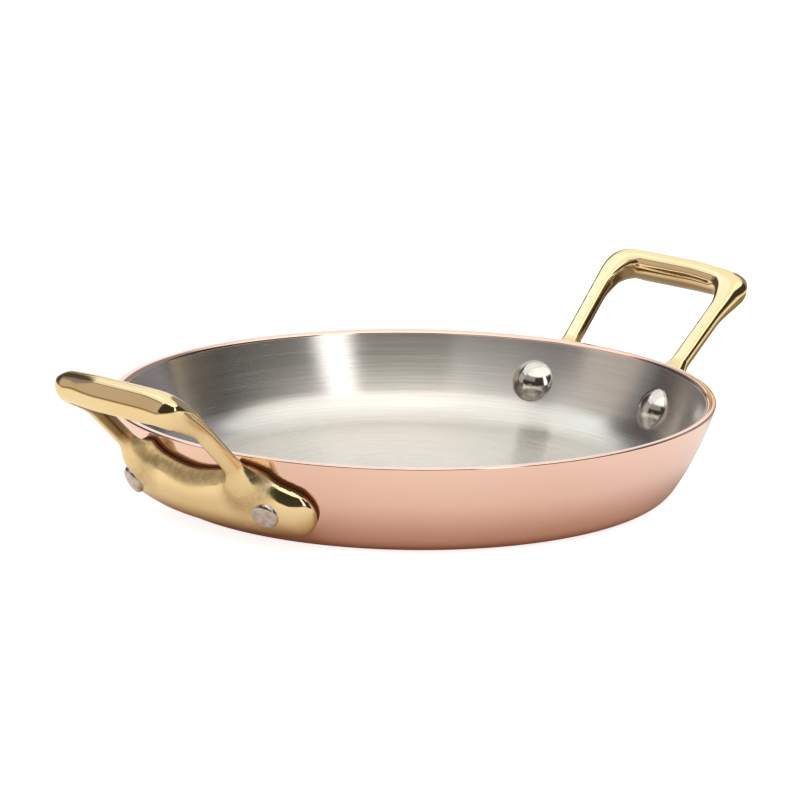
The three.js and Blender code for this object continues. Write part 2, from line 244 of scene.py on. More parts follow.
def base_corner(radius):
    """Centre of a corner arc that is tangent to the base and to the wall, and the angle where it ends."""
    rise = wall_centre[1] - radius
    run = math.sqrt((WALL_CURVE_RADIUS - radius) ** 2 - rise**2)
    return np.array([wall_centre[0] + run, radius]), -math.atan2(rise, run)


corner_centre, wall_start = base_corner(BASE_CORNER_RADIUS)


def wall_radius(height):
    """Radius of the wall's outer face at a height."""
    return wall_centre[0] + math.sqrt(WALL_CURVE_RADIUS**2 - (height - wall_centre[1]) ** 2)


def arc(centre, radius, start, end, steps):
    """Points of an arc from one angle to another, both ends among them."""
    angles = np.linspace(start, end, steps + 1)
    return np.array(centre) + radius * np.stack([np.cos(angles), np.sin(angles)], 1)


def dish_section(out, height=DISH_HEIGHT, corner_radius=BASE_CORNER_RADIUS, corner_steps=CORNER_STEPS):
    """Points of the dish's section from the base centre up to a height, moved out by the given amount.

    The corner's radius is the one before the move.
    """
    centre, start = base_corner(corner_radius)
    base = np.linspace(0, centre[0], BASE_STEPS, endpoint=False)
    flat = np.stack([base, np.full(len(base), -out)], 1)
    corner = arc(centre, corner_radius + out, -math.pi / 2, start, corner_steps)
    top = math.asin((height - wall_centre[1]) / (WALL_CURVE_RADIUS + out))
    wall = arc(wall_centre, WALL_CURVE_RADIUS + out, start, top, WALL_STEPS)
    return np.concatenate([flat, corner, wall[1:]])


def make_piece(name, points, faces, normals=None):
    """A smooth mesh object in metres, with the given normals or else with sharp edges where it turns."""
    mesh = bpy.data.meshes.new(name)
    mesh.from_pydata((np.asarray(points) * METRES).tolist(), [], faces)
    mesh.validate()
    mesh.shade_smooth()
    if normals is None:
        mesh.set_sharp_from_angle(angle=SHARP_ANGLE)
    else:
        mesh.normals_split_custom_set_from_vertices(normals.tolist())
    piece = bpy.data.objects.new(name, mesh)
    bpy.context.scene.collection.objects.link(piece)
    return piece


def flat_piece(name, middle, along, up):
    """A rectangle, from its middle and from half its length and half its height."""
    signs = ((-1, -1), (1, -1), (1, 1), (-1, 1))
    corners = [np.array(middle) + a * np.array(along) + b * np.array(up) for a, b in signs]
    return make_piece(name, corners, [(0, 1, 2, 3)])


def move_mesh(piece, place):
    """Moves a piece's mesh by a matrix in millimetres."""
    piece.data.transform(Matrix.Scale(METRES, 4) @ place @ Matrix.Scale(1 / METRES, 4))


def keep_values(piece, name, values):
    """Stores one number per vertex for a material to read."""
    attribute = piece.data.attributes.new(name, "FLOAT", "POINT")
    attribute.data.foreach_set("value", np.asarray(values, np.float32))


def turned(name, section, steps):
    """A closed piece turned about Z. Its section runs from the axis round to the axis again."""
    angles = np.linspace(0, 2 * math.pi, steps, endpoint=False)
    ring = np.stack([np.cos(angles), np.sin(angles)], 1)
    points = [[0, 0, section[0][1]], [0, 0, section[-1][1]]]
    ends = len(points)
    inner = section[1:-1]
    for radius, height in inner:
        points.extend([radius * x, radius * y, height] for x, y in ring)

    def corner(i, j):
        return ends + i * steps + j % steps

    faces = []
    last = len(inner) - 1
    for j in range(steps):
        faces.append((0, corner(0, j + 1), corner(0, j)))
        faces.append((1, corner(last, j), corner(last, j + 1)))
        for i in range(last):
            faces.append((corner(i, j), corner(i, j + 1), corner(i + 1, j + 1), corner(i + 1, j)))
    piece = make_piece(name, points, faces)
    lengths = np.hypot(*np.diff(section, axis=0).T)
    along = np.concatenate([[0], np.cumsum(lengths)])
    keep_values(piece, "along", np.concatenate([along[[0, -1]], np.repeat(along[1:-1], steps)]))
    return piece


def rivet_place(side, lengthwise):
    """Matrix of a rivet: local Z is the outward normal of the wall, its zero the outer face."""
    radius = wall_radius(RIVET_HEIGHT)
    turn = math.asin(lengthwise * RIVET_SPACING / 2 / radius) + RIVET_TURN
    if side < 0:
        turn += math.pi
    lean = math.asin((RIVET_HEIGHT - wall_centre[1]) / WALL_CURVE_RADIUS)
    place = Matrix.Rotation(turn, 4, "Z") @ Matrix.Translation((radius, 0, RIVET_HEIGHT))
    return place @ Matrix.Rotation(math.pi / 2 - lean, 4, "Y")


RIVETS = {
    "rivet_left_front": rivet_place(-1, 1),
    "rivet_left_back": rivet_place(-1, -1),
    "rivet_right_front": rivet_place(1, -1),
    "rivet_right_back": rivet_place(1, 1),
}


def bore(piece):
    """Cuts the rivets' bores out of a piece."""
    reach = HEAD_RADIUS + PLATE_FRONT
    section = np.array([[0, -reach], [BORE_RADIUS, -reach], [BORE_RADIUS, reach], [0, reach]])
    for place in RIVETS.values():
        drill = turned("drill", section, BORE_TURN_STEPS)
        move_mesh(drill, place)
        cut = piece.modifiers.new("bore", "BOOLEAN")
        cut.operation = "DIFFERENCE"
        cut.solver = "EXACT"
        cut.object = drill
        graph = bpy.context.evaluated_depsgraph_get()
        mesh = bpy.data.meshes.new_from_object(piece.evaluated_get(graph))
        piece.modifiers.remove(cut)
        piece.data = mesh
        bpy.data.objects.remove(drill)


# The lining ends where the rounded inner edge of the copper begins
lining_height = DISH_HEIGHT - RIM_INNER_RADIUS * (1 - math.sin(WALL_LEAN))


def copper_shell():
    """The copper: up the outer face, over the rim's two rounded edges and down the inner face."""
    outer = dish_section(0)[:-1]
    edge_inset = RIM_EDGE_RADIUS * (1 + math.sin(WALL_LEAN)) / math.cos(WALL_LEAN)
    edge_centre = [RIM_RADIUS - edge_inset, DISH_HEIGHT - RIM_EDGE_RADIUS]
    edge = arc(edge_centre, RIM_EDGE_RADIUS, -WALL_LEAN, math.pi / 2, RIM_EDGE_STEPS)
    inner_rim = dish_section(-COPPER_THICKNESS)[-1]
    inner_inset = RIM_INNER_RADIUS * (1 - math.sin(WALL_LEAN)) / math.cos(WALL_LEAN)
    inner_centre = inner_rim + [inner_inset, -RIM_INNER_RADIUS]
    inner_edge = arc(inner_centre, RIM_INNER_RADIUS, math.pi / 2, math.pi - WALL_LEAN, RIM_INNER_STEPS)[:-1]
    inner = dish_section(-COPPER_THICKNESS, lining_height)[::-1]
    return turned("copper_shell", np.concatenate([outer, edge, inner_edge, inner]), TURN_STEPS)


def lining_skin():
    """The steel: up the face that lies on the copper and down the one that shows."""
    outer = dish_section(-COPPER_THICKNESS, lining_height)
    corner_radius = INSIDE_CORNER_RADIUS + WALL_THICKNESS
    inner = dish_section(-WALL_THICKNESS, lining_height, corner_radius, INSIDE_CORNER_STEPS)[::-1]
    return turned("lining_skin", np.concatenate([outer, inner]), TURN_STEPS)


def rivet_piece(name, place):
    """A rivet with a domed head inside the dish and a flattened tail with a rounded edge outside."""
    hollow = HEAD_RADIUS**2 / (2 * (wall_radius(RIVET_HEIGHT) - WALL_THICKNESS))
    seat = -(WALL_THICKNESS + hollow)
    tail = PLATE_FRONT - TAIL_SUNK
    dome_height = HEAD_HEIGHT - HEAD_EDGE
    dome_radius = (HEAD_RADIUS**2 + dome_height**2) / (2 * dome_height)
    dome_centre = [0, seat - HEAD_HEIGHT + dome_radius]
    dome_end = math.asin((seat - HEAD_EDGE - dome_centre[1]) / dome_radius)
    dome = arc(dome_centre, dome_radius, -math.pi / 2, dome_end, DOME_STEPS)
    dome[0, 0] = 0
    bevel_centre = [TAIL_RADIUS - TAIL_BEVEL, tail + TAIL_HEIGHT - TAIL_BEVEL]
    bevel = arc(bevel_centre, TAIL_BEVEL, 0, math.pi / 2, BEVEL_STEPS)
    rest = [[HEAD_RADIUS, seat], [SHANK_RADIUS, seat], [SHANK_RADIUS, tail], [TAIL_RADIUS, tail]]
    section = np.concatenate([dome, rest, bevel, [[0, tail + TAIL_HEIGHT]]])
    piece = turned(name, section, RIVET_TURN_STEPS)
    keep_values(piece, "tail", [vertex.co.z > 0 for vertex in piece.data.vertices])
    move_mesh(piece, place)
    return piece


def smooth_step(value, low, high):
    """0 up to the low value, 1 from the high one on, and a smooth rise between them."""
    share = np.clip((value - low) / (high - low), 0, 1)
    return share * share * (3 - 2 * share)


def blend_share(first, second, reach):
    """Share of the first in a blend of two over the given reach: 1 where it is well below the second."""
    return np.clip(0.5 + 0.5 * (second - first) / reach, 0, 1)


def smooth_min(first, second, reach):
    share = blend_share(first, second, reach)
    return second + (first - second) * share - reach * share * (1 - share)


def smooth_max(first, second, reach):
    return -smooth_min(-first, -second, reach)


def wall_measures(points):
    """Distance out from the dish's outer face, height of the nearest point on it, and the points lifted
    to at least the height of the casting's square side, which makes that side square to the face.
    """
    radius = np.hypot(points[:, 0], points[:, 1])
    height = points[:, 2]
    wall = np.hypot(radius - wall_centre[0], height - wall_centre[1])
    corner = np.hypot(radius - corner_centre[0], height - corner_centre[1])
    at_corner = np.arctan2(height - corner_centre[1], radius - corner_centre[0]) < wall_start
    offset = np.where(at_corner, corner - BASE_CORNER_RADIUS, wall - WALL_CURVE_RADIUS)
    offset = np.where(height > DISH_HEIGHT, (radius - RIM_RADIUS) * math.cos(WALL_LEAN), offset)
    foot = wall_centre[1] + (height - wall_centre[1]) * WALL_CURVE_RADIUS / wall
    lift = np.maximum(SQUARE_SIDE - offset, 0)
    grown = 1 + lift * np.where(at_corner, 1 / corner, 1 / wall)
    centre = np.where(at_corner[:, None], corner_centre, wall_centre)
    lifted_radius = centre[:, 0] + (radius - centre[:, 0]) * grown
    lifted_height = centre[:, 1] + (height - centre[:, 1]) * grown
    outward = points[:, :2] * (lifted_radius / radius)[:, None]
    return offset, foot, np.column_stack([outward, lifted_height])


def plate_outline(along, level):
    """Signed distance to the plate's outline in the unrolled wall, from the middle along and by height."""
    body_height = PLATE_BOTTOM + BODY_RADIUS
    lobe = np.array([PLATE_HALF_LENGTH - LOBE_RADIUS - BODY_CENTRE, LOBE_HEIGHT - body_height])
    length = math.hypot(*lobe)
    lobe /= length
    x = along - BODY_CENTRE
    y = level - body_height
    forward = x * lobe[0] + y * lobe[1]
    aside = np.abs(y * lobe[0] - x * lobe[1])
    taper = (BODY_RADIUS - LOBE_RADIUS) / length
    flank = math.sqrt(1 - taper**2)

    # Past a leg: the large circle, the small one, or the tangent between the points where it touches them
    along_tangent = flank * forward - taper * aside
    past_leg = np.where(
        along_tangent < 0,
        np.hypot(aside, forward) - BODY_RADIUS,
        np.where(
            along_tangent > flank * length,
            np.hypot(aside, forward - length) - LOBE_RADIUS,
            aside * flank + forward * taper - BODY_RADIUS,
        ),
    )

    # Between the legs: under the ledge, over the lower edge, and up to a slanted end in the large circle
    above = level - PLATE_TOP - LEDGE_RISE * smooth_step(along, 0, BODY_CENTRE)
    end = (x + np.abs(y) - BODY_RADIUS) / math.sqrt(2)
    ledge = np.maximum(np.maximum(above, PLATE_BOTTOM - level), end)
    return np.minimum(past_leg, ledge)


def plate_field(points, offset, foot):
    """Signed distance to the foot plate, roughly: its outline, with a front that is rounded like a pillow."""
    height = points[:, 2]
    level = height + (foot - height) * smooth_step(height, PLATE_BOTTOM, PLATE_TOP)
    along = np.abs(np.arctan2(points[:, 1], points[:, 0])) * wall_radius(RIVET_HEIGHT)
    outline = plate_outline(along, level)
    inset = np.clip(PILLOW_RADIUS * math.sin(PILLOW_TURN) + outline, 0, PILLOW_RADIUS)
    pillow = np.hypot(offset - PLATE_FRONT + PILLOW_RADIUS, inset) - PILLOW_RADIUS
    return smooth_max(outline, pillow, PLATE_EDGE)


def in_loop_plane(x, z):
    """Parts of a place or a direction up the loop's slope, and down from its flat."""
    slope = x * math.cos(LOOP_TILT) + z * math.sin(LOOP_TILT)
    down = x * math.sin(LOOP_TILT) - z * math.cos(LOOP_TILT)
    return slope, down


def loop_measures(points):
    """Place from the middle of the rim: up the loop's slope, across, and down from its flat."""
    slope, down = in_loop_plane(points[:, 0] - RIM_RADIUS, points[:, 2] - DISH_HEIGHT + LOOP_DROP)
    return slope, points[:, 1], down


def along_loop(across, slope, reach):
    """Distance outward from the loop's middle line, and how far along that line from the rim.

    The line is the leg's and the bar's, blended over the given reach at their corner.
    """
    root = np.array([LOOP_ROOT, 0.0])
    corner = np.array([LOOP_TOP, LOOP_REACH])
    leg_length = np.hypot(*(corner - root))
    leg = (corner - root) / leg_length
    up_leg = (across - root[0]) * leg[0] + slope * leg[1]
    leg_out = (across - root[0]) * leg[1] - slope * leg[0]
    bar_out = slope - LOOP_REACH
    on_bar = blend_share(leg_out, bar_out, reach)
    along_bar = leg_length + np.maximum(LOOP_TOP - across, 0)
    travel = np.minimum(up_leg, leg_length) * (1 - on_bar) + along_bar * on_bar
    return smooth_max(leg_out, bar_out, reach), travel


def loop_field(points, tuck):
    """Signed distance to the loop, roughly: an oval, cut flat towards the dish, along the middle line.

    Castings are finished by hand: the corner at negative Y is rounder than the other, and tucked in by
    the given amount.
    """
    slope, across, down = loop_measures(points)
    worn = smooth_step(-across, WORN_START, WORN_END)
    worn_up = worn * np.clip(slope / LOOP_REACH, 0, 1)
    belt = smooth_step(down, 0, BAR_DEPTH * OVAL_MIDDLE)
    reach = FLAT_CORNER + (BELT_CORNER + CORNER_ROUNDING * worn - FLAT_CORNER) * belt
    outward, travel = along_loop(np.abs(across) + tuck * worn_up, slope + CORNER_DROP * worn_up, reach)

    # Section at that place along the line
    swell = smooth_step(travel, LEG_SWELL_START, LEG_SWELL_END)
    taper = smooth_step(travel, FLAT_TAPER_START, FLAT_TAPER_END)
    flare = 1 - smooth_step(travel, LEG_ROOT_START, LEG_ROOT_END)
    width = LEG_WIDTH + (BAR_WIDTH - LEG_WIDTH) * swell + 2 * LEG_ROOT_FLARE * flare
    depth = LEG_DEPTH + (BAR_DEPTH - LEG_DEPTH) * swell + (LEG_ROOT_DEPTH - LEG_DEPTH) * flare
    depth *= 1 - CORNER_THINNING * worn * swell
    flat = LEG_FLAT + (BAR_FLAT - LEG_FLAT) * taper + 2 * LEG_ROOT_FLARE * flare

    # Distance to an oval whose upper half is cut by the flat at the flat's width
    sunk = depth * OVAL_MIDDLE
    upper = sunk / np.sqrt(1 - (flat / width) ** 2)
    below = down - sunk
    leaning = outward + BAR_FLAT_SHIFT * taper * below / sunk
    across_axis = width / 2
    down_axis = np.where(below < 0, upper, depth - sunk)
    ratio = np.hypot(leaning / across_axis, below / down_axis)
    steepness = np.hypot(leaning / across_axis**2, below / down_axis**2) + TINY
    oval = ratio * (ratio - 1) / steepness
    return smooth_max(smooth_max(oval, -down, FLAT_EDGE), LEG_FOOT - slope, FOOT_FADE)


def bore_field(points):
    """Signed distance out of the nearer of the two bores of the right handle."""
    nearest = np.full(len(points), np.inf)
    for name in ("rivet_right_front", "rivet_right_back"):
        axis = np.array(RIVETS[name].col[2][:3])
        away = points - np.array(RIVETS[name].translation)
        nearest = np.minimum(nearest, np.linalg.norm(away - np.outer(away @ axis, axis), axis=1))
    return nearest - BORE_RADIUS


def handle_parts(points, tuck):
    """Distance out from the dish's outer face, and signed distances to the foot plate and to the loop."""
    offset, foot, lifted = wall_measures(points)
    plate = plate_field(lifted, np.maximum(offset, SQUARE_SIDE), foot)
    return offset, plate, loop_field(lifted, tuck)


def handle_field(points, tuck):
    """Signed distance to the right handle, roughly."""
    offset, plate, loop = handle_parts(points, tuck)
    casting = smooth_min(plate, loop, ROOT_FILLET)
    casting = smooth_max(casting, SEAT_GAP - offset, SEAT_EDGE)
    return np.maximum(casting, -bore_field(points))


def field_slope(field, points):
    """How steeply a field rises at the points, along each axis."""
    parts = []
    for axis in np.eye(3) * PROBE_REACH:
        parts.append((field(points + axis) - field(points - axis)) / (2 * PROBE_REACH))
    return np.stack(parts, 1)


def surface_net(values, origin, step):
    """Points and quads of the surface where a grid of values changes sign."""
    inside = values < 0
    size = np.array(values.shape) - 1
    corners = list(itertools.product((0, 1), repeat=3))

    def at_corner(corner):
        window = tuple(slice(c, c + n) for c, n in zip(corner, size))
        return inside[window].astype(np.int8)

    count = sum(at_corner(corner) for corner in corners)
    active = (count > 0) & (count < len(corners))
    cells = np.argwhere(active)
    number = np.full(size, -1)
    number[active] = np.arange(len(cells))
    total = np.zeros((len(cells), 3))
    hits = np.zeros(len(cells))
    for corner in corners:
        for axis in range(3):
            if corner[axis]:
                continue
            far = np.array(corner)
            far[axis] = 1
            first = values[tuple((cells + corner).T)]
            second = values[tuple((cells + far).T)]
            crossing = (first < 0) != (second < 0)
            share = first[crossing] / (first[crossing] - second[crossing])
            place = np.tile(np.array(corner, float), (len(share), 1))
            place[:, axis] = share
            total[crossing] += place
            hits[crossing] += 1
    points = origin + step * (cells + total / hits[:, None])

    faces = []
    for axis in range(3):
        _, side, other = np.roll(np.eye(3, dtype=int), -axis, axis=0)
        low = np.delete(inside, -1, axis)
        high = np.delete(inside, 0, axis)
        edges = np.argwhere(low != high)
        starts_inside = low[tuple(edges.T)]
        ring = [number[tuple((edges - shift).T)] for shift in (side + other, other, 0 * side, side)]
        quads = np.stack(ring, 1)
        quads[~starts_inside] = quads[~starts_inside, ::-1]
        faces.extend(quads.tolist())
    return points, faces


def cast_handle(tuck):
    """Points, faces and normals of the right handle, with one corner tucked in."""

    def field(points):
        return handle_field(points, tuck)

    low = np.array([wall_radius(PLATE_BOTTOM) - CAST_MARGIN, -CAST_HALF_LENGTH, CAST_BOTTOM])
    high = np.array([CAST_REACH, CAST_HALF_LENGTH, CAST_TOP])
    counts = np.ceil((high - low) / CAST_STEP).astype(int) + 1
    axes = [low[i] + CAST_STEP * np.arange(counts[i]) for i in range(3)]
    values = np.empty(counts)
    y, z = np.meshgrid(axes[1], axes[2], indexing="ij")
    for i, x in enumerate(axes[0]):
        layer = np.stack([np.full(y.size, x), y.ravel(), z.ravel()], 1)
        values[i] = field(layer).reshape(y.shape)
    points, faces = surface_net(values, low, CAST_STEP)
    for _ in range(SETTLING_ROUNDS):
        slope = field_slope(field, points)
        move = (field(points) / np.maximum((slope**2).sum(1), LEAST_STEEPNESS))[:, None] * slope
        points -= np.clip(move, -CAST_STEP / 2, CAST_STEP / 2)
    normals = field_slope(field, points)
    normals /= np.linalg.norm(normals, axis=1)[:, None]
    return points, faces, normals


def handle_skins(points, normals, tuck):
    """Shares of three skins at the points of the right handle.

    The ledge and the roots of the legs are left as cast, where a polishing belt can't reach. The lower inner
    sides of the loop are rougher there too, and painted dark as a painted dark reflection. Beside the wall
    the
    plate is painted dark and reddish: painted shade with a painted reflection of the copper.
    """
    slope, across, _ = loop_measures(points)
    to_window = np.stack([WINDOW_SLOPE - slope, -across], 1)
    to_window /= np.linalg.norm(to_window, axis=1)[:, None] + TINY
    up_slope, below = in_loop_plane(normals[:, 0], normals[:, 2])
    facing = up_slope * to_window[:, 0] + normals[:, 1] * to_window[:, 1]
    on_loop = smooth_step(slope, *LOOP_STARTS)
    on_ledge = (1 - smooth_step(np.abs(across), *LEDGE_ENDS)) * (1 - on_loop)
    offset, plate, loop = handle_parts(points, tuck)
    root = 1 - np.clip(np.abs(plate - loop) / ROOT_FILLET, 0, 1)
    return {
        "cast": np.maximum(smooth_step(facing, *CAST_FACING) * on_ledge, ROOT_CAST * root),
        # rougher, and painted dark as a painted dark reflection
        "dull_and_dark_reflection": smooth_step(facing, *DULL_AND_DARK_FACING) * smooth_step(below, *DULL_AND_DARK_BELOW) * on_loop,
        # painted shade with a reddish painted reflection of the copper, on a rougher skin
        "crevice": 1 - smooth_step(offset, SQUARE_SIDE - CREVICE_SHADE_FADE, SQUARE_SIDE),
    }


class Graph:
    """Short ways to add nodes to a tree and to link them."""

    def __init__(self, tree):
        self.tree = tree
        tree.nodes.clear()

    def node(self, kind, inputs=None, **settings):
        made = self.tree.nodes.new(kind)
        for name, value in settings.items():
            setattr(made, name, value)
        for key, value in (inputs or {}).items():
            self.feed(made.inputs[key], value)
        return made

    def feed(self, socket, value):
        if isinstance(value, bpy.types.NodeSocket):
            self.tree.links.new(value, socket)
        else:
            socket.default_value = value

    def math(self, operation, *values):
        return self.node("ShaderNodeMath", dict(enumerate(values)), operation=operation).outputs[0]

    def scaled(self, value, gain, start):
        """A value times a gain, added to a start."""
        return self.math("MULTIPLY_ADD", value, gain, start)

    def step(self, value, low, high, start=0.0, end=1.0):
        """A smooth change from the start to the end as the value goes from low to high."""
        inputs = {"Value": value, "From Min": low, "From Max": high, "To Min": start, "To Max": end}
        made = self.node("ShaderNodeMapRange", inputs, interpolation_type="SMOOTHSTEP")
        return made.outputs["Result"]

    def fall(self, value, low, high):
        return self.step(value, low, high, 1.0, 0.0)

    def mix(self, share, first, second):
        return self.node("ShaderNodeMix", {0: share, 6: first, 7: second}, data_type="RGBA").outputs[2]

    def patches(self, noise, first, second, spread=0.2):
        """Two colours, mixed where the noise is within the spread of its middle."""
        return self.mix(self.step(noise, 0.5 - spread, 0.5 + spread), first, second)

    def noise(self, vector, scale, detail, roughness=0.5):
        inputs = {"Vector": vector, "Scale": scale, "Detail": detail, "Roughness": roughness}
        return self.node("ShaderNodeTexNoise", inputs).outputs["Fac"]

    def place(self):
        """Place in the frame of the part, in metres."""
        return self.node("ShaderNodeTexCoord").outputs["Object"]

    def parts(self, vector):
        return self.node("ShaderNodeSeparateXYZ", {"Vector": vector}).outputs

    def in_studio(self, vector):
        """A vector with X to the right and Y away, for someone who stands at the scene's camera."""
        inputs = {"Vector": vector, "Angle": -CAMERA_AZIMUTH}
        return self.node("ShaderNodeVectorRotate", inputs, rotation_type="Z_AXIS").outputs[0]

    def camera_ray(self):
        return self.node("ShaderNodeLightPath").outputs["Is Camera Ray"]

    def value(self, name):
        """One of the numbers that a mesh keeps for each of its points."""
        return self.node("ShaderNodeAttribute", attribute_name=name).outputs["Fac"]

    def bump(self, height, strength, distance):
        inputs = {"Height": height, "Strength": strength, "Distance": distance}
        return self.node("ShaderNodeBump", inputs).outputs["Normal"]

    def glow(self, kind, colour):
        """A shader that gives off a colour as it is."""
        return self.node(kind, {"Color": colour, "Strength": 1.0}).outputs[0]

    def surface(self, shader, kind="ShaderNodeOutputMaterial"):
        self.node(kind, {"Surface": shader})

    def metal(self, **inputs):
        """The finished surface: a metal with the given inputs, whose names have _ for a space."""
        named = {key.replace("_", " "): value for key, value in inputs.items()}
        self.surface(self.node("ShaderNodeBsdfPrincipled", {"Metallic": 1.0, **named}).outputs[0])


def material(name):
    made = bpy.data.materials.new(name)
    made.use_nodes = True
    return made, Graph(made.node_tree)


def copper_material():
    made, graph = material("polished_copper")
    place = graph.place()
    cloud = graph.noise(place, scale=28.0, detail=3.0)
    fine = graph.noise(place, scale=900.0, detail=2.0)
    colour = graph.patches(cloud, COPPER_DEEP, COPPER_PALE)
    graph.metal(Base_Color=colour, Roughness=graph.scaled(fine, gain=0.04, start=0.07))
    return made


def brush_lines(graph, fineness, stretch):
    """Noise in thin rings round the axis: fine along the section, slow round the turn."""
    parts = graph.parts(graph.place())
    squares = [graph.math("POWER", part, 2.0) for part in (parts[0], parts[1])]
    radius = graph.math("SQRT", graph.math("ADD", *squares))
    along = graph.math("MULTIPLY", graph.value("along"), fineness)
    x = graph.math("MULTIPLY", graph.math("DIVIDE", parts[0], radius), stretch)
    y = graph.math("MULTIPLY", graph.math("DIVIDE", parts[1], radius), stretch)
    vector = graph.node("ShaderNodeCombineXYZ", {0: along, 1: x, 2: y}).outputs[0]
    return graph.noise(vector, scale=1.0, detail=3.0, roughness=0.6)


def lining_material():
    made, graph = material("brushed_steel")
    lines = brush_lines(graph, fineness=3.0, stretch=2.5)
    broad = brush_lines(graph, fineness=0.7, stretch=1.2)
    graph.metal(
        Base_Color=graph.patches(lines, LINING_DARK, LINING_PALE),
        Roughness=graph.scaled(broad, gain=0.08, start=0.22),
        Normal=graph.bump(lines, strength=0.05, distance=0.0001),
        Tangent=graph.node("ShaderNodeTangent", direction_type="RADIAL", axis="Z").outputs[0],
        Anisotropic=0.9,
        Anisotropic_Rotation=0.25,
    )
    return made


def brass_material():
    made, graph = material("cast_brass")
    place = graph.place()
    cast = graph.value("cast")
    dull_and_dark_reflection = graph.value("dull_and_dark_reflection")
    crevice = graph.value("crevice")
    cloud = graph.noise(place, scale=60.0, detail=3.0)
    grain = graph.noise(place, scale=1200.0, detail=3.0, roughness=0.55)
    patch = graph.noise(place, scale=800.0, detail=4.0, roughness=0.6)
    polished = graph.patches(cloud, BRASS_DEEP, BRASS_PALE)
    rough = graph.patches(patch, CAST_DARK, CAST_PALE, spread=0.15)
    most_dark_reflection = 0.85
    # Painted dark reflection on the loop's lower inner sides
    colour = graph.mix(graph.math("MULTIPLY", dull_and_dark_reflection, most_dark_reflection), polished, DARK_REFLECTION_BRASS)
    # Beside the wall the colour turns to painted shade with a reddish painted reflection of the copper
    colour = graph.mix(crevice, graph.mix(cast, colour, rough), CREVICE_SHADE)
    roughness = graph.scaled(graph.math("MAXIMUM", cast, crevice), gain=0.5, start=0.07)
    roughness = graph.scaled(dull_and_dark_reflection, gain=0.1, start=roughness)
    normal = graph.bump(graph.math("MULTIPLY", grain, cast), strength=0.3, distance=0.0002)
    graph.metal(Base_Color=colour, Roughness=roughness, Normal=normal)
    return made


def rivet_material():
    made, graph = material("rivet_steel")
    place = graph.place()
    tail = graph.value("tail")
    fine = graph.noise(place, scale=500.0, detail=3.0)
    dents = graph.noise(place, scale=700.0, detail=2.0)
    head = graph.patches(fine, HEAD_DARK, HEAD_PALE)
    hammered = graph.patches(dents, TAIL_DARK, TAIL_PALE, spread=0.15)
    roughness = graph.scaled(tail, gain=0.14, start=0.12)
    normal = graph.bump(graph.math("MULTIPLY", dents, tail), strength=0.4, distance=0.0004)
    graph.metal(Base_Color=graph.mix(tail, head, hammered), Roughness=roughness, Normal=normal)
    return made


def card_material():
    made, graph = material("dark_reflection_card")
    weave = graph.noise(graph.place(), scale=300.0, detail=2.0)
    colour = graph.mix(weave, CARD_DARK, CARD_PALE)
    graph.surface(graph.glow("ShaderNodeEmission", colour))
    return made


def floor_material():
    """White to the camera, with the dish's shadow. Reflections show it darker, with a glow of painted light
    in tints
    that change with the place: warm to the left and cool to the right, painted shade and copper-red bounce
    beside the dish, a painted shadow in a spot, and dimmer far away.
    """
    made, graph = material("pale_floor")
    seen = graph.camera_ray()
    place = graph.in_studio(graph.place())
    sideways = graph.parts(place)[0]

    def away_from(point):
        distance = graph.node("ShaderNodeVectorMath", {0: place, 1: point}, operation="DISTANCE")
        return distance.outputs["Value"]

    from_middle = away_from((0, 0, 0))
    shade = graph.fall(away_from(SHADE_MIDDLE), *SHADE_REACH)
    dim = graph.math("MAXIMUM", graph.step(from_middle, *FAR_AWAY), shade)
    # Painted shade and copper-red bounce beside the dish
    beside = graph.fall(from_middle, *SHADE_BESIDE_DISH)
    # The floor's glow in reflections is painted light: warm to the left, cool to the right
    tint = graph.mix(graph.step(sideways, *COOL_RIGHT), GLOW_MIDDLE, GLOW_RIGHT)
    tint = graph.mix(graph.fall(sideways, *WARM_LEFT), tint, GLOW_LEFT)
    tint = graph.mix(beside, tint, GLOW_SHADE_BESIDE)
    glow = graph.mix(seen, graph.mix(dim, tint, GLOW_DIM), GLOW_SEEN)
    paint = graph.mix(dim, graph.mix(beside, PAINT, PAINT_SHADE_BESIDE), PAINT_DIM)
    paint = graph.mix(seen, paint, PAINT)
    lit = graph.node("ShaderNodeBsdfDiffuse", {"Color": paint}).outputs[0]
    own = graph.glow("ShaderNodeEmission", glow)
    graph.surface(graph.node("ShaderNodeAddShader", {0: lit, 1: own}).outputs[0])
    return made


